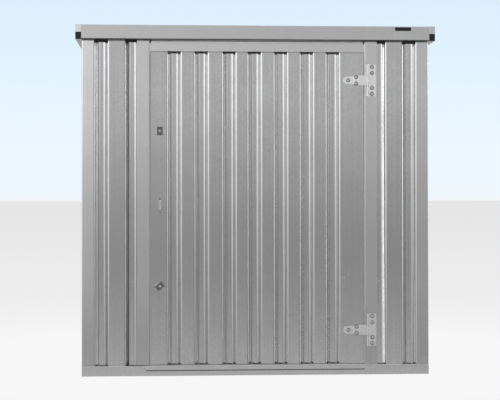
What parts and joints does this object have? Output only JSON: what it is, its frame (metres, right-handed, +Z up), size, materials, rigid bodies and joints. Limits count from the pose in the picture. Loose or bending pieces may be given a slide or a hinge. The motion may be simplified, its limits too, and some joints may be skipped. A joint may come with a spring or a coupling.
{
  "type": "steel storage container",
  "caption": "Walk-in storage container of grooved galvanised sheet on a folded steel frame, with a flat roof and a hinged front door.",
  "frame": {"origin": "centre of the roof's outline, projected to the ground", "axes": "+X to the right along the front, +Y from the front to the rear, +Z up"},
  "size_m": [2.17, 2.1, 2.11],
  "materials": {
    "galvanised_sheet": "galvanised, semi-bright",
    "galvanised_frame": "galvanised, semi-bright",
    "zinc_fittings": "zinc plated",
    "black_plastic": "moulded",
    "blank_label": "satin film",
    "plywood_floor": "coated plywood"
  },
  "bodies": {
    "container": {"base_front_rail": "galvanised_frame", "base_rear_rail": "galvanised_frame", "base_left_rail": "galvanised_frame", "base_right_rail": "galvanised_frame", "floor_joists": "galvanised_frame", "floor_boards": "plywood_floor", "front_left_post": "galvanised_frame", "front_right_post": "galvanised_frame", "rear_left_post": "galvanised_frame", "rear_right_post": "galvanised_frame", "front_left_panel": "galvanised_sheet", "front_right_panel": "galvanised_sheet", "left_front_panel": "galvanised_sheet", "left_rear_panel": "galvanised_sheet", "right_front_panel": "galvanised_sheet", "right_rear_panel": "galvanised_sheet", "rear_left_panel": "galvanised_sheet", "rear_right_panel": "galvanised_sheet", "door_left_jamb": "galvanised_frame", "door_right_jamb": "galvanised_frame", "door_lintel": "galvanised_frame", "door_stops": "galvanised_frame", "threshold": "galvanised_frame", "roof_front_rail": "galvanised_frame", "roof_rear_rail": "galvanised_frame", "roof_left_rail": "galvanised_frame", "roof_right_rail": "galvanised_frame", "roof_left_tube": "galvanised_frame", "roof_right_tube": "galvanised_frame", "roof_left_edge": "galvanised_frame", "roof_right_edge": "galvanised_frame", "tube_plugs": "black_plastic", "roof_beams": "galvanised_frame", "roof_sheets": "galvanised_sheet", "blank_plates": "blank_label", "hinge_plates": "zinc_fittings", "hinge_pins": "zinc_fittings"},
    "door": {"door_leaf": "galvanised_sheet", "door_stiles": "galvanised_frame", "door_rails": "galvanised_frame", "hinge_straps": "zinc_fittings", "pull_handle": "zinc_fittings", "latch_roses": "zinc_fittings"},
    "upper_latch": {"upper_latch": "zinc_fittings"},
    "lower_latch": {"lower_latch": "zinc_fittings"}
  },
  "joints": [
    {"name": "door_hinge", "type": "hinge", "parent": "container", "child": "door", "pos_m": [0.677, -1.017, 1.028], "axis": [0, 0, 1], "range_deg": [0, 180]},
    {"name": "upper_latch_turn", "type": "hinge", "parent": "door", "child": "upper_latch", "pos_m": [-0.5815, -1.01, 1.475], "axis": [0, 1, 0], "range_deg": [0, 90]},
    {"name": "lower_latch_turn", "type": "hinge", "parent": "door", "child": "lower_latch", "pos_m": [-0.5815, -1.01, 0.54], "axis": [0, 1, 0], "range_deg": [-50, 40]}
  ]
}
